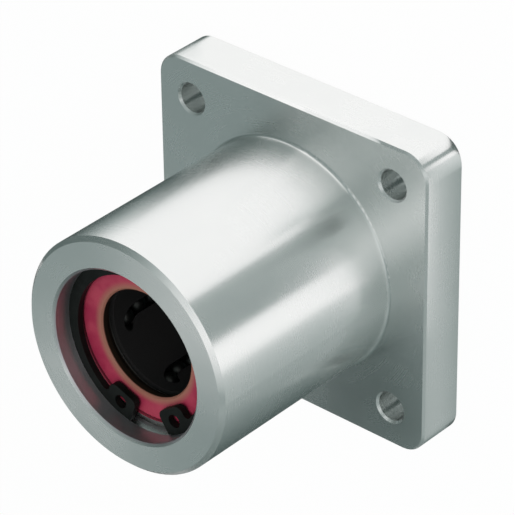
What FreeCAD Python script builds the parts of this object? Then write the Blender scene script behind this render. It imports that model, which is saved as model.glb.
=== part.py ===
"""Flanged linear bearing for a 20 mm shaft.

A one-piece housing with a square flange carries a recirculating ball bushing, held in its bore by
two internal retaining rings. The origin lies on the shaft axis, in the flange's mounting face, and
+Z runs along the shaft axis towards the nose of the housing. Lengths are in millimetres.
"""
import FreeCAD, Part
import math
import os

import Sketcher

# Driving dimensions
SIZES = {
    # Shaft and ball bushing
    "shaft_diameter": 20.0,
    "ball_diameter": 3.175,
    "race_clearance": 0.005,
    "sleeve_wall": 2.82,
    "sleeve_length": 42.0,
    "sleeve_edge": 0.6,
    "outer_groove_depth": 0.75,
    "outer_groove_width": 1.6,
    "outer_groove_station": 5.75,
    # Ball circuits and the moulded retainer
    "circuit_count": 5,
    "circuit_turn": -28.0,
    "row_pitch": 5.2,
    "ball_play": 0.1,
    "relief_start": 1.0,
    "retainer_shaft_gap": 0.4,
    "retainer_sleeve_gap": 0.15,
    "retainer_end_gap": 0.1,
    "retainer_end_wall": 1.3,
    # Seals and the end rings behind them
    "seal_inset": 0.45,
    "seal_thickness": 2.4,
    "seal_seat_wall": 1.5,
    "seal_clearance": 0.02,
    "seal_rim": 0.25,
    "lip_lead": 0.3,
    "lip_length": 1.0,
    "lip_back_depth": 0.7,
    "end_ring_thickness": 0.8,
    "end_ring_groove_wall": 0.9,
    "end_ring_shaft_gap": 1.3,
    "end_ring_gap_angle": 24.0,
    "end_ring_clearance": 0.05,
    # Retaining rings
    "ring_thickness": 1.2,
    "ring_groove_width": 1.3,
    "ring_groove_depth": 0.85,
    "ring_clearance": 0.03,
    "ring_width_back": 3.3,
    "ring_width_gap": 2.3,
    "ring_gap_angle": 36.0,
    "lug_angle": 27.0,
    "lug_height": 5.6,
    "lug_width": 6.0,
    "lug_tip_round": 1.3,
    "lug_root_round": 0.9,
    "lug_hole_diameter": 2.5,
    "lug_hole_inset": 3.2,
    "front_ring_turn": -83.0,
    "rear_ring_turn": 97.0,
    # Flanged housing
    "seat_clearance": 0.02,
    "end_land": 3.7,
    "tube_wall": 5.98,
    "flange_margin": 8.0,
    "flange_thickness": 9.5,
    "flange_corner": 5.0,
    "flange_edge": 0.4,
    "root_fillet": 0.6,
    "nose_edge": 0.8,
    "mouth_edge": 0.45,
    "bolt_edge_distance": 7.5,
    "bolt_hole_diameter": 5.5,
    "bolt_hole_edge": 0.4,
}

doc = FreeCAD.newDocument("flanged_linear_bearing")
sheet = doc.addObject("Spreadsheet::Sheet", "sizes")
for row, (alias, size) in enumerate(SIZES.items(), start=1):
    sheet.set(f"A{row}", alias)
    sheet.set(f"B{row}", str(size))
    sheet.setAlias(f"B{row}", alias)
doc.recompute()


def measure(expression):
    """The number that an expression of the sheet's sizes comes to."""
    return float(sheet.evalExpression(expression))


# Sizes that follow from the driving dimensions, from the shaft outwards
SHAFT_R = "(sizes.shaft_diameter / 2)"
BALL_R = "(sizes.ball_diameter / 2)"
PITCH_R = f"({SHAFT_R} + {BALL_R})"
RACE_R = f"({SHAFT_R} + sizes.ball_diameter + sizes.race_clearance)"
TRACK_R = f"({BALL_R} + sizes.ball_play)"
SLEEVE_R = f"({RACE_R} + sizes.sleeve_wall)"
SEAL_SEAT_R = f"({SLEEVE_R} - sizes.seal_seat_wall)"
END_GROOVE_R = f"({SLEEVE_R} - sizes.end_ring_groove_wall)"
BORE_R = f"({SLEEVE_R} + sizes.seat_clearance)"
RING_GROOVE_R = f"({BORE_R} + sizes.ring_groove_depth)"
RING_R = f"({RING_GROOVE_R} - sizes.ring_clearance)"
TUBE_R = f"({BORE_R} + sizes.tube_wall)"
FLANGE_HALF = f"({TUBE_R} + sizes.flange_margin)"
BOLT_REACH = f"({FLANGE_HALF} - sizes.bolt_edge_distance)"

# Sizes that follow along the shaft
HALF_SLEEVE = "(sizes.sleeve_length / 2)"
SLEEVE_STATION = "(sizes.end_land + sizes.ring_groove_width)"
HOUSING_LENGTH = f"(sizes.sleeve_length + 2 * {SLEEVE_STATION})"
MIDDLE = f"({HOUSING_LENGTH} / 2)"
SEAL_FACE = f"({HALF_SLEEVE} - sizes.seal_inset)"
SEAL_BACK = f"({SEAL_FACE} - sizes.seal_thickness)"
END_RING_BACK = f"({SEAL_BACK} - sizes.end_ring_thickness)"
RETAINER_HALF = f"({END_RING_BACK} - sizes.retainer_end_gap)"
RUN_HALF = f"({RETAINER_HALF} - sizes.retainer_end_wall - sizes.row_pitch / 2 - {TRACK_R})"


# Sketches and features
def new_body(label):
    """An empty body that becomes the sub-part of that name."""
    body = doc.addObject("PartDesign::Body", label)
    body.Label = label
    return body


def origin_feature(body, role):
    """One of the body's own origin planes or axes."""
    return next(item for item in body.Origin.OriginFeatures if item.Role == role)


def new_sketch(body, name, plane="XY_Plane"):
    """A sketch on one of the body's origin planes."""
    sketch = body.newObject("Sketcher::SketchObject", name)
    sketch.AttachmentSupport = (origin_feature(body, plane), "")
    sketch.MapMode = "FlatFace"
    return sketch


def pin_point(sketch, geometry, point, across, up):
    """Holds one point of a sketch at the place that two expressions give."""
    for kind, axis, expression in (("DistanceX", -2, across), ("DistanceY", -1, up)):
        if expression == "0":
            sketch.addConstraint(Sketcher.Constraint("PointOnObject", geometry, point, axis))
            continue
        distance = Sketcher.Constraint(kind, -1, 1, geometry, point, measure(expression))
        index = sketch.addConstraint(distance)
        sketch.setExpression(f"Constraints[{index}]", expression)


def vector(across, up):
    """The point of a sketch that two expressions give."""
    return FreeCAD.Vector(measure(across), measure(up), 0)


def add_outline(sketch, points):
    """A closed outline of straight lines through points given as pairs of expressions."""
    count = len(points)
    for index, point in enumerate(points):
        following = points[(index + 1) % count]
        sketch.addGeometry(Part.LineSegment(vector(*point), vector(*following)), False)
    for index, point in enumerate(points):
        pin_point(sketch, index, 1, *point)
        sketch.addConstraint(Sketcher.Constraint("Coincident", (index - 1) % count, 2, index, 1))


def add_circle(sketch, across, up, radius):
    """A circle whose centre and radius are expressions."""
    normal = FreeCAD.Vector(0, 0, 1)
    circle = Part.Circle(vector(across, up), normal, measure(radius))
    index = sketch.addGeometry(circle, False)
    pin_point(sketch, index, 3, across, up)
    constraint = sketch.addConstraint(Sketcher.Constraint("Radius", index, measure(radius)))
    sketch.setExpression(f"Constraints[{constraint}]", radius)


def add_racetrack(sketch, left, right, low, high):
    """Two upright lines from low to high, joined by a half circle at each end."""
    normal = FreeCAD.Vector(0, 0, 1)
    middle = f"(({left} + {right}) / 2)"
    radius = (measure(right) - measure(left)) / 2
    top_round = Part.Circle(vector(middle, high), normal, radius)
    low_round = Part.Circle(vector(middle, low), normal, radius)
    first = sketch.addGeometry(Part.LineSegment(vector(left, low), vector(left, high)), False)
    sketch.addGeometry(Part.LineSegment(vector(right, high), vector(right, low)), False)
    sketch.addGeometry(Part.ArcOfCircle(top_round, 0, math.pi), False)
    sketch.addGeometry(Part.ArcOfCircle(low_round, math.pi, 2 * math.pi), False)
    second, top, bottom = first + 1, first + 2, first + 3
    pin_point(sketch, first, 1, left, low)
    pin_point(sketch, first, 2, left, high)
    pin_point(sketch, second, 1, right, high)
    pin_point(sketch, second, 2, right, low)
    sketch.addConstraint(Sketcher.Constraint("Tangent", first, 2, top, 2))
    sketch.addConstraint(Sketcher.Constraint("Coincident", second, 1, top, 1))
    sketch.addConstraint(Sketcher.Constraint("Tangent", first, 1, bottom, 1))
    sketch.addConstraint(Sketcher.Constraint("Coincident", second, 2, bottom, 2))


def add_pad(body, sketch, length):
    """Material raised from a sketch."""
    pad = body.newObject("PartDesign::Pad", sketch.Name + "_pad")
    pad.Profile = sketch
    pad.setExpression("Length", length)
    sketch.Visibility = False
    doc.recompute()
    return pad


def add_pocket(body, sketch, length, both_ways=False, outwards=False):
    """A cut from a sketch, to both sides of it or along its normal."""
    pocket = body.newObject("PartDesign::Pocket", sketch.Name + "_pocket")
    pocket.Profile = sketch
    pocket.setExpression("Length", length)
    pocket.Midplane = both_ways
    pocket.Reversed = outwards
    doc.recompute()
    return pocket


def add_turned(body, sketch, kind):
    """A section turned about the shaft axis, as material or as a cut."""
    turned = body.newObject(f"PartDesign::{kind}", sketch.Name + "_turned")
    turned.Profile = sketch
    turned.ReferenceAxis = (sketch, ["V_Axis"])
    turned.Angle = 360
    doc.recompute()
    return turned


def edges_where(feature, test):
    """Names of the feature's edges that pass a test."""
    return [f"Edge{index}" for index, edge in enumerate(feature.Shape.Edges, start=1) if test(edge)]


def add_edge_feature(body, kind, name, base, edges, prop, size):
    """A fillet or a chamfer on some edges of a feature."""
    feature = body.newObject(f"PartDesign::{kind}", name)
    feature.Base = (base, edges)
    feature.setExpression(prop, size)
    doc.recompute()
    return feature


def add_polar_pattern(body, originals):
    """Copies of some features, one for each ball circuit."""
    pattern = body.newObject("PartDesign::PolarPattern", body.Name + "_circuits")
    pattern.Originals = originals
    pattern.Axis = (origin_feature(body, "Z_Axis"), [""])
    pattern.Angle = 360
    pattern.setExpression("Occurrences", "sizes.circuit_count")
    body.Tip = pattern
    doc.recompute()
    return pattern


def seat_in_middle(body):
    """Places a body with ball circuits halfway along the housing, at the angle of the first circuit."""
    body.setExpression("Placement.Base.z", MIDDLE)
    body.setExpression("Placement.Rotation.Angle", "sizes.circuit_turn")


def add_mirror(body, original):
    """The mirror image of a feature across the body's XZ plane."""
    mirror = body.newObject("PartDesign::Mirrored", original.Name + "_mirror")
    mirror.Originals = [original]
    mirror.MirrorPlane = (origin_feature(body, "XZ_Plane"), [""])
    body.Tip = mirror
    doc.recompute()
    return mirror


# Lengths that differ by less than this count as equal
SAME = 1e-4


def is_upright(edge):
    """Whether an edge is a straight line along the shaft axis."""
    first, last = edge.Vertexes[0].Point, edge.Vertexes[-1].Point
    return isinstance(edge.Curve, Part.Line) and math.dist(first[:2], last[:2]) < SAME


def axis_distance(edge):
    """The distance of an upright edge from the shaft axis."""
    return math.hypot(*edge.Vertexes[0].Point[:2])


def is_circle(edge, radius, height):
    """Whether an edge is a whole circle of that radius in the level plane at that height."""
    if not isinstance(edge.Curve, Part.Circle) or not edge.isClosed():
        return False
    same_radius = abs(edge.Curve.Radius - radius) < SAME
    return same_radius and abs(edge.Curve.Center.z - height) < SAME


# Flanged housing: square flange, round nose, stepped bore and four bolt holes
def make_housing():
    body = new_body("flanged_housing")
    flange_sketch = new_sketch(body, "flange_outline")
    corners = (("-", "-"), ("", "-"), ("", ""), ("-", ""))
    add_outline(flange_sketch, [(x + FLANGE_HALF, y + FLANGE_HALF) for x, y in corners])
    flange = add_pad(body, flange_sketch, "sizes.flange_thickness")
    uprights = edges_where(flange, is_upright)
    rounded = add_edge_feature(body, "Fillet", "flange_corners", flange, uprights, "Radius",
                               "sizes.flange_corner")
    rims = edges_where(rounded, lambda edge: not is_upright(edge))
    broken = add_edge_feature(body, "Chamfer", "flange_rims", rounded, rims, "Size", "sizes.flange_edge")

    nose_sketch = new_sketch(body, "nose_outline")
    add_circle(nose_sketch, "0", "0", TUBE_R)
    nose = add_pad(body, nose_sketch, HOUSING_LENGTH)
    tube_radius = measure(TUBE_R)
    thickness = measure("sizes.flange_thickness")
    length = measure(HOUSING_LENGTH)
    root = edges_where(nose, lambda edge: is_circle(edge, tube_radius, thickness))
    filleted = add_edge_feature(body, "Fillet", "nose_root", nose, root, "Radius", "sizes.root_fillet")
    tip = edges_where(filleted, lambda edge: is_circle(edge, tube_radius, length))
    add_edge_feature(body, "Chamfer", "nose_tip", filleted, tip, "Size", "sizes.nose_edge")

    bore_sketch = new_sketch(body, "bore_section", "XZ_Plane")
    mouth_r = f"({BORE_R} + sizes.mouth_edge)"
    near = [("0", "0"), (mouth_r, "0"), (BORE_R, "sizes.mouth_edge"), (BORE_R, "sizes.end_land"),
            (RING_GROOVE_R, "sizes.end_land"), (RING_GROOVE_R, SLEEVE_STATION), (BORE_R, SLEEVE_STATION)]
    far = [(across, f"({HOUSING_LENGTH} - {up})") for across, up in reversed(near)]
    add_outline(bore_sketch, near + far)
    add_turned(body, bore_sketch, "Groove")

    hole_sketch = new_sketch(body, "bolt_holes")
    for x, y in corners:
        add_circle(hole_sketch, x + BOLT_REACH, y + BOLT_REACH, "(sizes.bolt_hole_diameter / 2)")
    holes = add_pocket(body, hole_sketch, "2.5 * sizes.flange_thickness", both_ways=True)
    hole_radius = measure("sizes.bolt_hole_diameter / 2")
    hole_rims = edges_where(holes, lambda edge: is_circle(edge, hole_radius, 0)
                            or is_circle(edge, hole_radius, thickness))
    add_edge_feature(body, "Chamfer", "bolt_hole_rims", holes, hole_rims, "Size", "sizes.bolt_hole_edge")
    return body


# Steel sleeve of the bushing: seats for the seals, a ground race and one relief for each circuit
def make_sleeve():
    body = new_body("bushing_sleeve")
    section = new_sketch(body, "sleeve_section", "XZ_Plane")
    edge_r = f"({SLEEVE_R} - sizes.sleeve_edge)"
    groove_r = f"({SLEEVE_R} - sizes.outer_groove_depth)"
    groove_top = f"({HALF_SLEEVE} - sizes.outer_groove_station)"
    groove_low = f"({groove_top} - sizes.outer_groove_width)"
    upper = [(RACE_R, END_RING_BACK), (END_GROOVE_R, END_RING_BACK), (END_GROOVE_R, SEAL_BACK),
             (SEAL_SEAT_R, SEAL_BACK), (SEAL_SEAT_R, HALF_SLEEVE), (edge_r, HALF_SLEEVE),
             (SLEEVE_R, f"({HALF_SLEEVE} - sizes.sleeve_edge)"), (SLEEVE_R, groove_top),
             (groove_r, groove_top), (groove_r, groove_low), (SLEEVE_R, groove_low)]
    lower = [(across, f"-{up}") for across, up in reversed(upper)]
    add_outline(section, upper + lower)
    add_turned(body, section, "Revolution")

    relief_sketch = new_sketch(body, "return_relief")
    add_racetrack(relief_sketch, f"({PITCH_R} - {TRACK_R})", f"({PITCH_R} + {TRACK_R})",
                  "sizes.relief_start", "sizes.row_pitch")
    relief = add_pocket(body, relief_sketch, "sizes.sleeve_length", both_ways=True)
    add_polar_pattern(body, [relief])
    seat_in_middle(body)
    return body


# Moulded retainer: a tube with one closed ball track for each circuit, open to the shaft along its
# loaded row and closed under its return row, because the track lies in a plane that touches the
# ball pitch circle at the loaded row
def make_retainer():
    body = new_body("ball_retainer")
    section = new_sketch(body, "retainer_section", "XZ_Plane")
    inner = f"({SHAFT_R} + sizes.retainer_shaft_gap)"
    outer = f"({RACE_R} - sizes.retainer_sleeve_gap)"
    add_outline(section, [(inner, f"-{RETAINER_HALF}"), (outer, f"-{RETAINER_HALF}"),
                          (outer, RETAINER_HALF), (inner, RETAINER_HALF)])
    add_turned(body, section, "Revolution")

    opening_sketch = new_sketch(body, "track_opening", "YZ_Plane")
    opening_sketch.setExpression("AttachmentOffset.Base.z", PITCH_R)
    low, high = f"-{RUN_HALF}", RUN_HALF
    add_racetrack(opening_sketch, f"-{TRACK_R}", f"(sizes.row_pitch + {TRACK_R})", low, high)
    add_racetrack(opening_sketch, TRACK_R, f"(sizes.row_pitch - {TRACK_R})", low, high)
    opening = add_pocket(body, opening_sketch, "sizes.ball_diameter", outwards=True)

    path = new_sketch(body, "track_path", "YZ_Plane")
    path.setExpression("AttachmentOffset.Base.z", PITCH_R)
    add_racetrack(path, "0", "sizes.row_pitch", low, high)
    bottom_sketch = new_sketch(body, "track_bottom")
    add_circle(bottom_sketch, PITCH_R, "0", TRACK_R)
    bottom = body.newObject("PartDesign::SubtractivePipe", "track_bottom_pipe")
    bottom.Profile = bottom_sketch
    bottom.Spine = (path, [])
    doc.recompute()
    add_polar_pattern(body, [opening, bottom])
    seat_in_middle(body)
    return body


# Balls of one circuit, evenly spaced along its closed track, in a loaded and a return group
def track_point(along, run, radius):
    """The place across and along the shaft axis at a distance along the closed track."""
    turn = math.pi * radius
    if along < run:
        return 0.0, along - run / 2
    if along < run + turn:
        angle = (along - run) / radius
        return radius - radius * math.cos(angle), run / 2 + radius * math.sin(angle)
    if along < 2 * run + turn:
        return 2 * radius, run / 2 - (along - run - turn)
    angle = (along - 2 * run - turn) / radius
    return radius + radius * math.cos(angle), -run / 2 - radius * math.sin(angle)


def make_ball(name, place):
    """One ball at a place in the bearing's frame."""
    ball = doc.addObject("Part::Sphere", name)
    ball.setExpression("Radius", BALL_R)
    ball.Placement.Base = place
    return ball


def make_circuits():
    run = 2 * measure(RUN_HALF)
    radius = measure("sizes.row_pitch / 2")
    pitch_radius = measure(PITCH_R)
    middle = measure(MIDDLE)
    count = round(measure("sizes.circuit_count"))
    # Balls that touch each other in the turns lie further apart along the track than on the runs.
    reach = measure("sizes.ball_diameter / sizes.row_pitch")
    closest = 2 * radius * math.asin(reach)
    track = 2 * run + 2 * math.pi * radius
    balls_in_track = int(track / closest)
    spacing = track / balls_in_track
    loaded_count = int(run / spacing) + 1
    first = (run - (loaded_count - 1) * spacing) / 2
    start = measure("sizes.circuit_turn")
    nodes = []
    for circuit in range(count):
        turn = FreeCAD.Rotation(FreeCAD.Vector(0, 0, 1), start + 360.0 * circuit / count)
        groups = {"loaded": [], "return": []}
        for index in range(balls_in_track):
            group = groups["loaded" if index < loaded_count else "return"]
            across, up = track_point(first + index * spacing, run, radius)
            place = turn.multVec(FreeCAD.Vector(pitch_radius, across, up + middle))
            group.append(make_ball(f"ball_{circuit + 1}_{index + 1}", place))
        for name, balls in groups.items():
            node = doc.addObject("Part::Compound", f"{name}_balls_{circuit + 1}")
            node.Label = node.Name
            node.Links = balls
            nodes.append(node)
    return nodes


# The two ends of the bearing carry the same pieces, the rear ones facing the other way
def seat_at_end(body, rear, station, turn="0"):
    """Places a body at a distance from the middle, facing outwards, turned about the shaft axis."""
    facing = FreeCAD.Rotation(FreeCAD.Vector(1, 0, 0), 180 if rear else 0)
    spin = FreeCAD.Rotation(FreeCAD.Vector(0, 0, 1), measure(turn))
    body.Placement.Rotation = spin.multiply(facing)
    side = "-" if rear else "+"
    body.setExpression("Placement.Base.z", f"{MIDDLE} {side} {station}")


# Rubber seal: a disc pressed into the sleeve, with a lip that wipes the shaft
def make_seal(label, rear):
    body = new_body(label)
    section = new_sketch(body, label + "_section", "XZ_Plane")
    outer = f"({SEAL_SEAT_R} - sizes.seal_clearance)"
    lip_front = "(sizes.seal_thickness - sizes.lip_lead)"
    lip_back = f"({lip_front} - sizes.lip_length)"
    back_r = f"({SHAFT_R} + sizes.lip_back_depth)"
    add_outline(section, [
        (back_r, "0"), (outer, "0"), (outer, "(sizes.seal_thickness - sizes.seal_rim)"),
        (f"({outer} - sizes.seal_rim)", "sizes.seal_thickness"),
        (f"({SHAFT_R} + sizes.lip_lead)", "sizes.seal_thickness"),
        (SHAFT_R, lip_front), (SHAFT_R, lip_back),
        (back_r, f"({lip_back} / 2)")])
    add_turned(body, section, "Revolution")
    seat_at_end(body, rear, SEAL_BACK)
    return body


# Rings cut from sheet: a round blank with an opening and a gap
def add_ring_blank(body, outer, inner, offset, thickness):
    """A flat ring whose opening may lie off its centre."""
    blank = new_sketch(body, body.Name + "_blank")
    add_circle(blank, "0", "0", outer)
    add_circle(blank, offset, "0", inner)
    return add_pad(body, blank, thickness)


def add_ring_gap(body, angle, thickness):
    """A wedge cut from the ring's centre outwards, about +X."""
    gap = new_sketch(body, body.Name + "_gap")
    reach = f"(2 * {RING_R})"
    add_outline(gap, [("0", "0"), (f"({reach} * cos({angle} / 2))", f"-({reach} * sin({angle} / 2))"),
                      (f"({reach} * cos({angle} / 2))", f"({reach} * sin({angle} / 2))")])
    return add_pocket(body, gap, f"3 * {thickness}", both_ways=True)


# End ring: a spring ring in the sleeve that keeps the retainer in and backs the seal
def make_end_ring(label, rear):
    body = new_body(label)
    outer = f"({END_GROOVE_R} - sizes.end_ring_clearance)"
    inner = f"({SHAFT_R} + sizes.end_ring_shaft_gap)"
    add_ring_blank(body, outer, inner, "0", "sizes.end_ring_thickness")
    add_ring_gap(body, "sizes.end_ring_gap_angle", "sizes.end_ring_thickness")
    seat_at_end(body, rear, END_RING_BACK)
    return body


# Retaining ring: a tapered spring ring with two plier lugs beside its gap
def make_retaining_ring(label, rear, turn):
    body = new_body(label)
    mean_width = "((sizes.ring_width_back + sizes.ring_width_gap) / 2)"
    offset = "((sizes.ring_width_back - sizes.ring_width_gap) / 2)"
    add_ring_blank(body, RING_R, f"({RING_R} - {mean_width})", offset, "sizes.ring_thickness")
    add_ring_gap(body, "sizes.ring_gap_angle", "sizes.ring_thickness")

    lug_sketch = new_sketch(body, label + "_lug")
    lug_sketch.setExpression("AttachmentOffset.Rotation.Angle", "sizes.lug_angle")
    lug_tip = f"({RING_R} - sizes.lug_height)"
    lug_root = f"({RING_R} - sizes.ring_width_gap / 2)"
    half_width = "(sizes.lug_width / 2)"
    add_outline(lug_sketch, [(lug_tip, f"-{half_width}"), (lug_root, f"-{half_width}"),
                             (lug_root, half_width), (lug_tip, half_width)])
    lug = add_pad(body, lug_sketch, "sizes.ring_thickness")
    both_lugs = add_mirror(body, lug)

    tip_reach = math.hypot(measure(lug_tip), measure(half_width)) + SAME
    roots = edges_where(both_lugs, lambda edge: is_upright(edge)
                        and tip_reach < axis_distance(edge) < measure(lug_root))
    rooted = add_edge_feature(body, "Fillet", label + "_lug_roots", both_lugs, roots, "Radius",
                              "sizes.lug_root_round")
    tips = edges_where(rooted, lambda edge: is_upright(edge) and axis_distance(edge) < tip_reach)
    add_edge_feature(body, "Fillet", label + "_lug_tips", rooted, tips, "Radius", "sizes.lug_tip_round")

    hole_sketch = new_sketch(body, label + "_lug_hole")
    hole_sketch.setExpression("AttachmentOffset.Rotation.Angle", "sizes.lug_angle")
    add_circle(hole_sketch, f"({RING_R} - sizes.lug_hole_inset)", "0", "(sizes.lug_hole_diameter / 2)")
    hole = add_pocket(body, hole_sketch, "3 * sizes.ring_thickness", both_ways=True)
    add_mirror(body, hole)
    outer_face = f"({HALF_SLEEVE} + sizes.ring_groove_width - sizes.ring_thickness)"
    seat_at_end(body, rear, outer_face, turn)
    return body


nodes = [
    make_housing(),
    make_sleeve(),
    make_retainer(),
    make_end_ring("front_end_ring", False),
    make_end_ring("rear_end_ring", True),
    make_seal("front_seal", False),
    make_seal("rear_seal", True),
    make_retaining_ring("front_retaining_ring", False, "sizes.front_ring_turn"),
    make_retaining_ring("rear_retaining_ring", True, "sizes.rear_ring_turn"),
]
nodes += make_circuits()
doc.recompute()

# Every object has to be sound before anything is written
for item in doc.Objects:
    if "Invalid" in item.State or "Error" in item.State:
        raise RuntimeError(f"{item.Name} is {item.State}")
for node in nodes:
    if node.Shape.isNull() or not node.Shape.isValid() or not node.Shape.Solids:
        raise RuntimeError(f"{node.Label} has no sound solid")

os.makedirs("parts", exist_ok=True)
for node in nodes:
    node.Shape.exportStep(f"parts/{node.Label}.step")
    print(node.Label, len(node.Shape.Solids), "solids", round(node.Shape.Volume, 2), "mm3")
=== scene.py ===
"""Finishes, light and camera for the flanged linear bearing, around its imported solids."""
import math

import bpy
from mathutils import Matrix, Vector


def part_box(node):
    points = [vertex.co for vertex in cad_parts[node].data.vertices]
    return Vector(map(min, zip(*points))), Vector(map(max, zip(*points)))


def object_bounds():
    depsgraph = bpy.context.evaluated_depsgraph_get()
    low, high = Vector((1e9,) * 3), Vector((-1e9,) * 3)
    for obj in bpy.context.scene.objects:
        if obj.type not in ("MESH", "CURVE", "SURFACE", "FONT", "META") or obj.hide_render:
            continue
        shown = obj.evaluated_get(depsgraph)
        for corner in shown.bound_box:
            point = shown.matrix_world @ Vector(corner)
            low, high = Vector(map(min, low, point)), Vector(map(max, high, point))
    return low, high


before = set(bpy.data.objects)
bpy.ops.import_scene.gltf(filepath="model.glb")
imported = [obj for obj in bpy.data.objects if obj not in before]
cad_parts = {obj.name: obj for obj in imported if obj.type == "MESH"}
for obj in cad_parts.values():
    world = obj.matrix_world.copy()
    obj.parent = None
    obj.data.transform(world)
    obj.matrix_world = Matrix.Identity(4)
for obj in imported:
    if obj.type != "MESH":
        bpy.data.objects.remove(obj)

cad_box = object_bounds()
MM = 0.001
UP = Vector((0.0, 0.0, 1.0))


# Places on the part: the reach of its housing, and the sizes that finishes and cards follow

housing_low, housing_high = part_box("flanged_housing")
FLANGE_HALF = (housing_high.x - housing_low.x) / 2
FLANGE_THICKNESS = 9.5 * MM
CORNER_RADIUS = 5.0 * MM
BOLT_OFFSET = 22.5 * MM
NOSE_HEIGHT = housing_high.z
NOSE_RADIUS = 22.0 * MM
CHAMFER_SLOPE = 45.0


# The photograph's view: angles in degrees, from +X about +Z and above the floor

CAMERA_AZIMUTH = 43.84
CAMERA_ELEVATION = 39.07
CAMERA_DISTANCE = 0.6177
CAMERA_ROLL = -0.82
CAMERA_LENS = 246.5
AIM = Vector((-7.43, -3.80, 9.80)) * MM
BEHIND = CAMERA_AZIMUTH + 180.0


def direction(azimuth, elevation=0.0):
    """Unit vector from the object, by its angle from +X about +Z and its height angle, in degrees."""
    turn = math.radians(azimuth)
    rise = math.radians(elevation)
    return Vector((math.cos(turn) * math.cos(rise), math.sin(turn) * math.cos(rise), math.sin(rise)))


def side_mirrors(angle):
    """The level direction that the camera sees mirrored in an upright side turned to an angle."""
    return direction(2.0 * angle - CAMERA_AZIMUTH)


TO_CAMERA = direction(CAMERA_AZIMUTH, CAMERA_ELEVATION)
FLAT_MIRRORS = direction(BEHIND, CAMERA_ELEVATION)
ALONG_VIEW = direction(CAMERA_AZIMUTH)
ACROSS_VIEW = direction(CAMERA_AZIMUTH + 90.0)


# Small helpers for shader nodes

MIX_COLOUR_INPUTS = (6, 7)
MIX_COLOUR_OUTPUT = 2
NOISE_LOW = 0.3
NOISE_HIGH = 0.7


def add_node(tree, kind, inputs=None, **settings):
    """Adds a node to a tree, with its settings, and sets or links its inputs."""
    node = tree.nodes.new(kind)
    for name, value in settings.items():
        setattr(node, name, value)
    for name, value in (inputs or {}).items():
        if isinstance(value, bpy.types.NodeSocket):
            tree.links.new(value, node.inputs[name])
        else:
            node.inputs[name].default_value = value
    return node


def calculate(tree, operation, first, second=0.0):
    """One Math node's result."""
    return add_node(tree, "ShaderNodeMath", {0: first, 1: second}, operation=operation).outputs[0]


def weigh(tree, first, share, second):
    """Two values added up, the first by its share and the second by the rest."""
    weighed = calculate(tree, "MULTIPLY", first, share)
    return calculate(tree, "ADD", weighed, calculate(tree, "MULTIPLY", second, 1.0 - share))


def rescale(tree, value, low, high, new_low, new_high):
    """A value carried smoothly from one range to another and held at its ends."""
    inputs = {"Value": value, "From Min": low, "From Max": high, "To Min": new_low, "To Max": new_high}
    node = add_node(tree, "ShaderNodeMapRange", inputs, interpolation_type="SMOOTHSTEP")
    return node.outputs["Result"]


def spread(tree, cloud, low, high):
    """Noise carried from the levels that it mostly keeps to, to a range of its own."""
    return rescale(tree, cloud, NOISE_LOW, NOISE_HIGH, low, high)


def mix_colours(tree, share, first, second):
    """A colour between two others."""
    node = add_node(tree, "ShaderNodeMix", {"Factor": share}, data_type="RGBA")
    for index, value in zip(MIX_COLOUR_INPUTS, (first, second)):
        if isinstance(value, bpy.types.NodeSocket):
            tree.links.new(value, node.inputs[index])
        else:
            node.inputs[index].default_value = (*value, 1.0)
    return node.outputs[MIX_COLOUR_OUTPUT]


def noise(tree, place, size, detail=2.0, roughness=0.5):
    """Cloudy noise from 0 to 1 at a place, with clouds of a size in metres."""
    inputs = {"Vector": place, "Scale": 1.0 / size, "Detail": detail, "Roughness": roughness}
    return add_node(tree, "ShaderNodeTexNoise", inputs).outputs["Fac"]


def bump(tree, height, depth):
    """Surface normal for a height from 0 to 1, of a depth in metres."""
    return add_node(tree, "ShaderNodeBump", {"Height": height, "Distance": depth}).outputs["Normal"]


def new_material(name):
    """An empty node material and its tree."""
    material = bpy.data.materials.new(name)
    material.use_nodes = True
    material.node_tree.nodes.clear()
    return material, material.node_tree


def principled(tree, inputs):
    """The surface shader, joined to the material's output."""
    shader = add_node(tree, "ShaderNodeBsdfPrincipled", inputs)
    add_node(tree, "ShaderNodeOutputMaterial", {"Surface": shader.outputs["BSDF"]})
    return shader


def object_place(tree):
    """The point itself, in metres."""
    return add_node(tree, "ShaderNodeTexCoord").outputs["Object"]


def axis_places(tree):
    """The point itself, its parts along the axes and its distance from the shaft axis, all in metres."""
    place = object_place(tree)
    parts = add_node(tree, "ShaderNodeSeparateXYZ", {"Vector": place}).outputs
    squares = [calculate(tree, "MULTIPLY", parts[axis], parts[axis]) for axis in ("X", "Y")]
    return place, parts, calculate(tree, "SQRT", calculate(tree, "ADD", *squares))


def round_tangent(tree):
    """The direction around the shaft axis, along which a lathe cuts."""
    return add_node(tree, "ShaderNodeTangent", direction_type="RADIAL", axis="Z").outputs["Tangent"]


def turned_marks(tree, radius, height, pitch):
    """Rings left by a lathe tool: noise that changes across the cut and not along it."""
    across = add_node(tree, "ShaderNodeCombineXYZ", {"X": radius, "Y": height}).outputs["Vector"]
    return noise(tree, across, pitch, detail=3.0, roughness=0.65)


# Finishes

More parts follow.
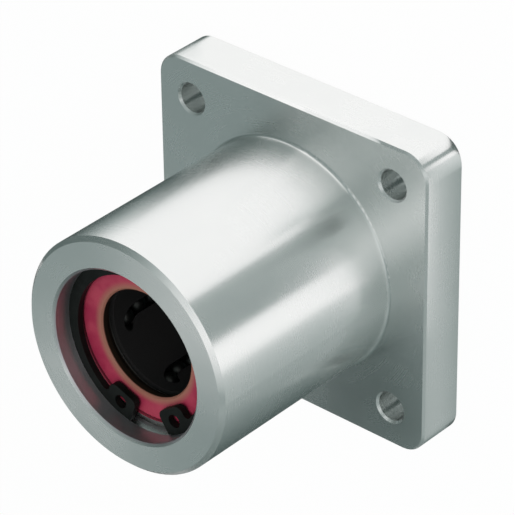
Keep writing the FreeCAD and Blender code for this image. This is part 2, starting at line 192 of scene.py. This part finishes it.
def machined_alloy():
    """Satin machined metal: turned rings on the round and flat faces, milled lines on the flange's sides,
    and a rougher bore wall painted darker and pinker as painted shade and a painted reflection of the red
    seal.
    """
    milled_skin = 0.2 * MM
    fine_pitch = 0.25 * MM
    coarse_pitch = 1.4 * MM
    fine_share = 0.7
    cloud_size = 9.0 * MM
    cloud_share = 0.6
    bore_wall = 16.05 * MM
    bore_edge = 16.4 * MM
    dull = (0.905, 0.915, 0.905)
    bright = (0.95, 0.955, 0.945)
    # Painted shade and a painted reflection of the red seal: the bore's wall gets a darker, pinker colour
    # than the rest
    bore_painted_shade_tint = (0.80, 0.75, 0.78)
    bore_roughness = 0.09
    material, tree = new_material("satin_machined_alloy")
    place, parts, radius = axis_places(tree)
    reach = calculate(tree, "MAXIMUM", *[calculate(tree, "ABSOLUTE", parts[axis]) for axis in ("X", "Y")])
    milled = calculate(tree, "GREATER_THAN", reach, FLANGE_HALF - milled_skin)
    turned_radius = calculate(tree, "MULTIPLY", radius, calculate(tree, "SUBTRACT", 1.0, milled))
    fine = turned_marks(tree, turned_radius, parts["Z"], fine_pitch)
    coarse = turned_marks(tree, turned_radius, parts["Z"], coarse_pitch)
    cloud = noise(tree, place, cloud_size, detail=4.0)
    tone = weigh(tree, cloud, cloud_share, weigh(tree, fine, fine_share, coarse))
    # 1 in the bore and 0 outside it: this darkens and pinks the colour as painted shade and reflection, and
    #                                 also makes the wall rougher
    in_bore = rescale(tree, radius, bore_wall, bore_edge, 1.0, 0.0)
    colour = mix_colours(tree, spread(tree, tone, 0.0, 1.0), dull, bright)
    rougher = calculate(tree, "MULTIPLY", in_bore, bore_roughness)
    principled(tree, {
        "Base Color": mix_colours(tree, in_bore, colour, bore_painted_shade_tint),
        "Metallic": 1.0,
        "Roughness": calculate(tree, "ADD", spread(tree, tone, 0.25, 0.285), rougher),
        "Anisotropic": 0.75,
        "Anisotropic Rotation": 0.25,
        "Tangent": round_tangent(tree),
    })
    return material


def ground_steel():
    """Hardened steel with fine grinding rings."""
    ring_pitch = 0.15 * MM
    ring_depth = 0.001 * MM
    cloud_size = 6.0 * MM
    dull = (0.52, 0.51, 0.49)
    bright = (0.64, 0.63, 0.61)
    material, tree = new_material("ground_steel")
    place, parts, radius = axis_places(tree)
    rings = turned_marks(tree, radius, parts["Z"], ring_pitch)
    cloud = noise(tree, place, cloud_size, detail=4.0)
    principled(tree, {
        "Base Color": mix_colours(tree, cloud, dull, bright),
        "Metallic": 1.0,
        "Roughness": spread(tree, cloud, 0.2, 0.3),
        "Anisotropic": 0.4,
        "Normal": bump(tree, rings, ring_depth),
        "Tangent": round_tangent(tree),
    })
    return material


def polished_steel():
    """Ball steel painted very dark as painted shade inside the bore, in random blotches."""
    blotch_size = 1.5 * MM
    # Painted shade: the balls' colours are darkened to the bore's shade, not the steel's own tone
    painted_shade_dark = (0.045, 0.045, 0.045)
    painted_shade_light = (0.075, 0.075, 0.07)
    material, tree = new_material("ball_steel_painted_shade")
    blotch = noise(tree, object_place(tree), blotch_size, detail=3.0)
    principled(tree, {
        "Base Color": mix_colours(tree, blotch, painted_shade_dark, painted_shade_light),
        "Metallic": 1.0,
        "Roughness": spread(tree, blotch, 0.40, 0.52),
    })
    return material


def black_spring_steel():
    """Phosphated and oiled spring steel, a little worn to a lighter tone."""
    cloud_size = 3.0 * MM
    cloud_share = 0.6
    grain_size = 0.18 * MM
    grain_depth = 0.004 * MM
    wear_low = 0.35
    wear_high = 0.7
    black = (0.003, 0.004, 0.0035)
    worn = (0.008, 0.010, 0.009)
    material, tree = new_material("black_spring_steel")
    place = object_place(tree)
    cloud = noise(tree, place, cloud_size, detail=4.0)
    grain = noise(tree, place, grain_size)
    wear = rescale(tree, weigh(tree, cloud, cloud_share, grain), wear_low, wear_high, 0.0, 1.0)
    principled(tree, {
        "Base Color": mix_colours(tree, wear, black, worn),
        "Specular IOR Level": 0.12,
        "Roughness": spread(tree, cloud, 0.38, 0.52),
        "Normal": bump(tree, grain, grain_depth),
    })
    return material


def seal_rubber():
    """Moulded red rubber, with a painted tan highlight towards the lip and painted shade on its parts
    further inside the bore.
    """
    cloud_size = 4.0 * MM
    grain_size = 0.15 * MM
    grain_depth = 0.006 * MM
    lip_inner = 10.2 * MM
    lip_outer = 11.8 * MM
    inner_shade_start = 20.0 * MM
    inner_shade_end = 20.4 * MM
    deep_red = (0.295, 0.016, 0.052)
    light_red = (0.385, 0.042, 0.078)
    # Painted highlight: the lip's tan stands for light caught on its edge, not the rubber's own colour
    lip_highlight_tan = (0.30, 0.12, 0.085)
    # Painted shade: the seal's parts further inside the bore are darkened to brown-black
    inner_shade_brown = (0.018, 0.010, 0.006)
    material, tree = new_material("red_seal_rubber")
    place, parts, radius = axis_places(tree)
    cloud = noise(tree, place, cloud_size, detail=4.0)
    grain = noise(tree, place, grain_size)
    body = mix_colours(tree, spread(tree, cloud, 0.0, 1.0), deep_red, light_red)
    # Painted highlight mask: 1 at the lip, fading out towards the face
    lip = rescale(tree, radius, lip_inner, lip_outer, 1.0, 0.0)
    # Painted shade mask: 1 within about 20 mm of the bearing's middle, deeper in the bore, and 0 nearer the
    # seal's outer face
    from_middle = calculate(tree, "ABSOLUTE", calculate(tree, "SUBTRACT", parts["Z"], NOSE_HEIGHT / 2))
    inner_shade = rescale(tree, from_middle, inner_shade_start, inner_shade_end, 1.0, 0.0)
    face = mix_colours(tree, lip, body, lip_highlight_tan)
    principled(tree, {
        "Base Color": mix_colours(tree, inner_shade, face, inner_shade_brown),
        "Specular IOR Level": 0.3,
        "Roughness": spread(tree, grain, 0.42, 0.55),
        "Normal": bump(tree, grain, grain_depth),
    })
    return material


def retainer_polymer():
    """Dark moulded polymer with a faint eggshell texture."""
    cloud_size = 5.0 * MM
    grain_size = 0.2 * MM
    grain_depth = 0.006 * MM
    dark = (0.015, 0.0138, 0.0142)
    light = (0.022, 0.0205, 0.0205)
    material, tree = new_material("dark_moulded_polymer")
    place = object_place(tree)
    cloud = noise(tree, place, cloud_size, detail=3.0)
    grain = noise(tree, place, grain_size)
    principled(tree, {
        "Base Color": mix_colours(tree, cloud, dark, light),
        "Roughness": spread(tree, grain, 0.5, 0.62),
        "Normal": bump(tree, grain, grain_depth),
    })
    return material


FINISHES = {
    "housing_alloy": machined_alloy(),
    "bearing_steel": ground_steel(),
    "ball_steel": polished_steel(),
    "black_spring_steel": black_spring_steel(),
    "seal_rubber": seal_rubber(),
    "retainer_polymer": retainer_polymer(),
}

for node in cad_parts.values():
    for slot in node.material_slots:
        slot.material = FINISHES[slot.material.name.split(".")[0]]


# Stage: a white floor, and cards around the part that only its shiny surfaces see

FLOOR_RADIUS = 3.0
FLOOR_STEP = 5
FLOOR_GLOW = 0.96
FLOOR_FIBRE = 2.0 * MM
FLOOR_DULL = (0.92, 0.92, 0.92)
FLOOR_BRIGHT = (0.96, 0.96, 0.96)
CARD_LIFT = 0.05 * MM
UPPER_LIFT = 2.0 * CARD_LIFT
CARD_STEP = 3.0
CARD_TINT = (1.14, 1.0, 1.02)
CORNER_SIGNS = ((-1, -1), (1, -1), (1, 1), (-1, 1))


def add_sheet(name, points, faces, material):
    """A flat sheet of the stage."""
    mesh = bpy.data.meshes.new(name)
    mesh.from_pydata(points, [], faces)
    mesh.materials.append(material)
    sheet = bpy.data.objects.new(name, mesh)
    bpy.context.scene.collection.objects.link(sheet)
    return sheet


def floor_paper():
    """White paper that looks white to the camera and in the metal, and still takes the object's shadow."""
    material, tree = new_material("white_paper")
    fibre = noise(tree, object_place(tree), FLOOR_FIBRE, detail=4.0)
    white = mix_colours(tree, fibre, FLOOR_DULL, FLOOR_BRIGHT)
    paper = add_node(tree, "ShaderNodeBsdfDiffuse", {"Color": white})
    glow = add_node(tree, "ShaderNodeEmission", {"Strength": 1.0})
    rays = add_node(tree, "ShaderNodeLightPath").outputs
    shiny = calculate(tree, "MAXIMUM", rays["Is Glossy Ray"], rays["Is Transmission Ray"])
    seen = calculate(tree, "MAXIMUM", rays["Is Camera Ray"], shiny)
    share = calculate(tree, "MULTIPLY", seen, FLOOR_GLOW)
    mixed = add_node(tree, "ShaderNodeMixShader", {0: share, 1: paper.outputs[0], 2: glow.outputs[0]})
    add_node(tree, "ShaderNodeOutputMaterial", {"Surface": mixed.outputs[0]})
    return material


def card_paper():
    """Evenly lit card, of the tone that its mesh carries."""
    material, tree = new_material("grey_card")
    tone = add_node(tree, "ShaderNodeAttribute", attribute_name="tone").outputs["Color"]
    lit = add_node(tree, "ShaderNodeEmission", {"Color": tone})
    add_node(tree, "ShaderNodeOutputMaterial", {"Surface": lit.outputs[0]})
    return material


CARD_PAPER = card_paper()


def add_floor():
    """A round white floor under the flange."""
    rim = [direction(azimuth) * FLOOR_RADIUS for azimuth in range(0, 360, FLOOR_STEP)]
    return add_sheet("floor", rim, [tuple(range(len(rim)))], floor_paper())


def add_card(name, points, tones, faces):
    """A card that only shiny surfaces see, of its own tone at each point, and greener where it is darker."""
    card = add_sheet(name, points, faces, CARD_PAPER)
    colour = card.data.color_attributes.new("tone", "FLOAT_COLOR", "POINT")
    colour.data.foreach_set("color", [tone ** power for tone in tones for power in (*CARD_TINT, 0.0)])
    card.visible_camera = False
    card.visible_diffuse = False
    card.visible_shadow = False
    return card


def add_strip(name, stops, ends):
    """A card in one band through places with a tone each: ends gives the band's two points at a place."""
    pairs = [(ends(place), tone) for place, tone in stops]
    points = [point for pair, tone in pairs for point in pair]
    tones = [tone for pair, tone in pairs for point in pair]
    faces = [(2 * step, 2 * step + 2, 2 * step + 3, 2 * step + 1) for step in range(len(stops) - 1)]
    return add_card(name, points, tones, faces)


def add_level_card(name, middle, along, across, tone):
    """A level rectangle of one tone, by its middle and its two half sides."""
    points = [middle + along * a + across * b for a, b in CORNER_SIGNS]
    return add_card(name, points, [tone] * len(points), [tuple(range(len(points)))])


def between(pair, share):
    """The value at a share of the way from the first of a pair to the second."""
    return pair[0] + (pair[1] - pair[0]) * share


def add_round_card(name, centre, radius, angles, tones, near, far):
    """A floor card that a round side mirrors between two of its angles, in tones that change evenly."""
    steps = math.ceil((angles[1] - angles[0]) / CARD_STEP)
    shares = [step / steps for step in range(steps + 1)]
    stops = [(between(angles, share), between(tones, share)) for share in shares]

    def ends(angle):
        foot = centre + direction(angle) * radius + UP * CARD_LIFT
        return [foot + side_mirrors(angle) * distance for distance in (near, far)]

    return add_strip(name, stops, ends)


def add_side_card(name, stops, low_end, high_end):
    """A floor card that the flange's +X side mirrors, with a tone at each distance from that side."""
    def ends(distance):
        away = UP * UPPER_LIFT + side_mirrors(0.0) * distance
        return [Vector((FLANGE_HALF, y, 0.0)) + away for y in (low_end, high_end)]

    return add_strip(name, stops, ends)


def add_nose_panel(name, tones, radius, distance):
    """A hanging round card that the nose's face mirrors, with tones at even steps around it."""
    centre = UP * NOSE_HEIGHT + FLAT_MIRRORS * distance
    turn = 360.0 / len(tones)
    rim = [centre + direction(turn * step) * radius for step in range(len(tones))]
    faces = [(0, 1 + step, 1 + (step + 1) % len(rim)) for step in range(len(rim))]
    return add_card(name, [centre, *rim], [sum(tones) / len(tones), *tones], faces)


def add_flag(name, corners, distance):
    """A hanging card that a part of the flange's face mirrors, with a tone at each corner of that part."""
    lifted = UP * FLANGE_THICKNESS + FLAT_MIRRORS * distance
    points = [Vector((x * MM, y * MM, 0.0)) + lifted for x, y, tone in corners]
    return add_card(name, points, [tone for x, y, tone in corners], [tuple(range(len(corners)))])


def add_wall(name, stops, low, high, distance):
    """A curved card around the object, between two height angles, with a tone at each azimuth."""
    def ends(azimuth):
        return [direction(azimuth, elevation) * distance for elevation in (low, high)]

    return add_strip(name, stops, ends)


def add_edge_card(name, stops, half_width, distance):
    """A narrow card around the nose's tip that its chamfer mirrors, with a tone at each angle."""
    def ends(angle):
        facing = direction(angle, CHAMFER_SLOPE)
        mirrored = 2.0 * facing.dot(TO_CAMERA) * facing - TO_CAMERA
        middle = UP * NOSE_HEIGHT + direction(angle) * NOSE_RADIUS + mirrored * distance
        return [middle - UP * half_width, middle + UP * half_width]

    return add_strip(name, stops, ends)


def add_root_card(name, stops, low, high, distance):
    """A low upright card beside the flange that the nose's root mirrors by way of the flange's face."""
    def ends(angle):
        foot = direction(angle) * NOSE_RADIUS + side_mirrors(angle) * distance
        return [foot + UP * low, foot + UP * high]

    return add_strip(name, stops, ends)


def add_brow_card(name, stops, low, high, gap):
    """A low upright card beside the flange's +Y side that its front edge mirrors, with a tone at each x."""
    def ends(x):
        foot = Vector((x * MM, FLANGE_HALF + gap, 0.0))
        return [foot + UP * low, foot + UP * high]

    return add_strip(name, stops, ends)


def add_overhead_bar(name, stops, half_width, distance):
    """A wide card that arches over the object from behind, with a tone at each rise."""
    def ends(rise):
        middle = direction(BEHIND, rise) * distance
        return [middle - ACROSS_VIEW * half_width, middle + ACROSS_VIEW * half_width]

    return add_strip(name, stops, ends)


add_floor()

# Floor cards that the nose mirrors: the angles of the nose, the tones at them, and where the card begins

AXIS = Vector((0.0, 0.0, 0.0))
FAR_START = 28.0 * MM
NEAR_START = 22.0 * MM
CARD_END = 0.25
NOSE_CARDS = (
    ("far_card", (98.0, 109.0), (0.92, 0.30), FAR_START),
    ("far_dusk_card", (109.0, 121.0), (0.30, 0.06), FAR_START),
    ("far_dark_card", (121.0, 150.0), (0.06, 0.06), FAR_START),
    ("near_dark_card", (-75.0, -32.0), (0.05, 0.10), NEAR_START),
    ("near_dusk_card", (-32.0, -10.0), (0.10, 0.27), NEAR_START),
    ("near_card", (-10.0, 15.0), (0.27, 0.60), NEAR_START),
    ("front_card", (28.5, 49.5), (0.31, 0.40), FAR_START),
)
for name, angles, tones, start in NOSE_CARDS:
    add_round_card(name, AXIS, NOSE_RADIUS, angles, tones, start, CARD_END)

# Floor cards that the flange's round corners mirror: the angles, the tones at them, and the card's reach

CORNER = Vector((FLANGE_HALF - CORNER_RADIUS, FLANGE_HALF - CORNER_RADIUS, 0.0))
FAR_CORNER = Vector((-CORNER.x, CORNER.y, 0.0))
SIDE_REACH = FLANGE_THICKNESS / math.tan(math.radians(CAMERA_ELEVATION))
FAR_REACH = 2.5 * SIDE_REACH
CORNER_CARDS = (
    ("corner_side_card", CORNER, (0.0, 30.0), (0.48, 0.75), SIDE_REACH),
    ("far_corner_card", FAR_CORNER, (100.0, 108.0), (0.85, 0.12), FAR_REACH),
    ("far_corner_dark_card", FAR_CORNER, (108.0, 150.0), (0.12, 0.08), FAR_REACH),
    ("corner_card", CORNER, (38.0, 46.0), (0.36, 0.36), SIDE_REACH),
)
for name, centre, angles, tones, end in CORNER_CARDS:
    add_round_card(name, centre, CORNER_RADIUS, angles, tones, 0.0, end)

# A floor card for the flange's +X side, and a dark one under the flange as painted shade, with two pale bars
# below each hole as painted glints that the holes' walls mirror

SIDE_TONES = ((0.0, 0.35), (SIDE_REACH, 0.54))
UNDER_TONE = 0.06
BAR_TONE = 0.45
BAR_OFFSET = 1.4 * MM
BAR_HALF_LENGTH = 2.0 * MM
BAR_HALF_WIDTH = 0.55 * MM

add_side_card("side_card", SIDE_TONES, -FLANGE_HALF - SIDE_REACH, CORNER.y)
half_x = Vector((FLANGE_HALF, 0.0, 0.0))
half_y = Vector((0.0, FLANGE_HALF, 0.0))
# Painted shade: a dark card covers the floor under the flange, which would otherwise glow white in the holes
add_level_card("under_shade_card", UP * CARD_LIFT, half_x, half_y, UNDER_TONE)
# Painted glints: pale bars below each hole, which the holes' walls mirror
bar_length = ALONG_VIEW * BAR_HALF_LENGTH
bar_width = ACROSS_VIEW * BAR_HALF_WIDTH
for x, y in CORNER_SIGNS:
    hole = Vector((x * BOLT_OFFSET, y * BOLT_OFFSET, UPPER_LIFT))
    for side in (-1.0, 1.0):
        middle = hole + ACROSS_VIEW * side * BAR_OFFSET
        add_level_card("hole_glint_bar", middle, bar_length, bar_width, BAR_TONE)

# Hanging cards for the flat faces: tones around the nose's face, and corners on the flange in millimetres

PANEL = (0.38, 0.36, 0.375, 0.375, 0.44, 0.42, 0.405, 0.42, 0.41, 0.29, 0.29, 0.35)
PANEL_RADIUS = 1.15 * NOSE_RADIUS
PANEL_DISTANCE = 0.15
FLAG = ((-8.0, -40.0, 0.001), (36.0, -38.0, 0.12), (36.0, -4.0, 0.11), (16.0, -8.0, 0.04))
FLAG_DISTANCE = 0.07

add_nose_panel("nose_panel", PANEL, PANEL_RADIUS, PANEL_DISTANCE)
add_flag("low_flag", FLAG, FLAG_DISTANCE)

# Upright cards and the bar overhead: stops of an angle, or of x in millimetres for the brow, and a tone

WALL = (
    (-111.0, 0.09), (-104.0, 0.11), (-95.0, 0.15), (-80.0, 0.20), (-70.0, 0.23), (-55.0, 0.29),
    (-43.0, 0.40), (-32.0, 0.31), (-15.0, 0.39), (1.0, 0.62), (17.0, 0.71), (32.0, 0.51), (46.0, 0.36),
    (64.0, 0.30), (77.0, 0.385), (105.0, 0.37), (127.0, 0.26), (143.0, 0.25), (158.0, 0.17),
    (175.0, 0.115), (190.0, 0.18),
)
WALL_LOW = 1.0
WALL_HIGH = 56.0
WALL_DISTANCE = 0.35
EDGE = (
    (5.0, 0.45), (12.0, 0.65), (20.0, 0.95), (30.0, 1.08), (40.0, 1.0), (50.0, 0.85), (60.0, 0.75),
    (70.0, 0.50), (80.0, 0.30), (90.0, 0.20), (105.0, 0.16), (120.0, 0.14), (135.0, 0.14), (150.0, 0.16),
)
EDGE_HALF_WIDTH = 6.0 * MM
EDGE_DISTANCE = 20.0 * MM
ROOT = ((53.0, 0.55), (55.0, 0.70), (58.0, 0.90), (64.0, 0.98), (76.0, 0.98), (82.0, 0.95))
ROOT_LOW = 9.8 * MM
ROOT_HIGH = 17.0 * MM
ROOT_DISTANCE = 14.0 * MM
BROW = ((-29.0, 0.25), (-26.5, 0.45), (-23.0, 0.80), (-17.0, 1.0), (2.0, 1.05))
BROW_LOW = 9.4 * MM
BROW_HIGH = 12.0 * MM
BROW_GAP = 1.0 * MM
OVERHEAD = ((52.0, 0.5), (62.0, 1.15), (75.0, 1.1), (90.0, 0.8), (110.0, 0.7), (120.0, 0.4))
OVERHEAD_HALF_WIDTH = 0.14
OVERHEAD_DISTANCE = 0.5

add_wall("sky_wall", WALL, WALL_LOW, WALL_HIGH, WALL_DISTANCE)
add_edge_card("edge_card", EDGE, EDGE_HALF_WIDTH, EDGE_DISTANCE)
add_root_card("root_card", ROOT, ROOT_LOW, ROOT_HIGH, ROOT_DISTANCE)
add_brow_card("brow_card", BROW, BROW_LOW, BROW_HIGH, BROW_GAP)
add_overhead_bar("overhead_bar", OVERHEAD, OVERHEAD_HALF_WIDTH, OVERHEAD_DISTANCE)


# Light: a soft grey room and two softboxes, which the metal doesn't mirror

ROOM_TONE = (0.212, 0.262, 0.258)
LIT_POINT = (cad_box[0] + cad_box[1]) / 2
LAMP_DISTANCE = 0.5
LAMPS = {
    "overhead_softbox": {"azimuth": 220.0, "elevation": 84.0, "size": 0.5, "power": 0.9},
    "fill_softbox": {"azimuth": 35.0, "elevation": 62.0, "size": 0.3, "power": 1.0},
}


def add_softbox(name, azimuth, elevation, size, power):
    """A square area lamp that faces the object's middle."""
    lamp = bpy.data.lights.new(name, "AREA")
    lamp.shape = "SQUARE"
    lamp.size = size
    lamp.energy = power
    softbox = bpy.data.objects.new(name, lamp)
    away = direction(azimuth, elevation)
    softbox.location = LIT_POINT + away * LAMP_DISTANCE
    softbox.rotation_euler = away.to_track_quat("Z", "Y").to_euler()
    softbox.visible_camera = False
    softbox.visible_glossy = False
    bpy.context.scene.collection.objects.link(softbox)
    return softbox


for name, lamp in LAMPS.items():
    add_softbox(name, **lamp)

world = bpy.data.worlds.new("grey_room")
world.use_nodes = True
world.node_tree.nodes["Background"].inputs["Color"].default_value = (*ROOM_TONE, 1.0)
bpy.context.scene.world = world


# Camera at the photograph's angle, with the part's +Y side towards the top of the picture

PICTURE_TOP = Vector((0.0, 1.0, 0.0))
right = PICTURE_TOP.cross(TO_CAMERA).normalized()
axes = Matrix((right, TO_CAMERA.cross(right), TO_CAMERA)).transposed().to_4x4()
roll = Matrix.Rotation(math.radians(CAMERA_ROLL), 4, "Z")
camera_data = bpy.data.cameras.new("camera")
camera_data.lens = CAMERA_LENS
camera = bpy.data.objects.new("camera", camera_data)
camera.matrix_world = Matrix.Translation(AIM + TO_CAMERA * CAMERA_DISTANCE) @ axes @ roll
bpy.context.scene.collection.objects.link(camera)
bpy.context.scene.camera = camera
bpy.context.scene.view_settings.view_transform = "Standard"
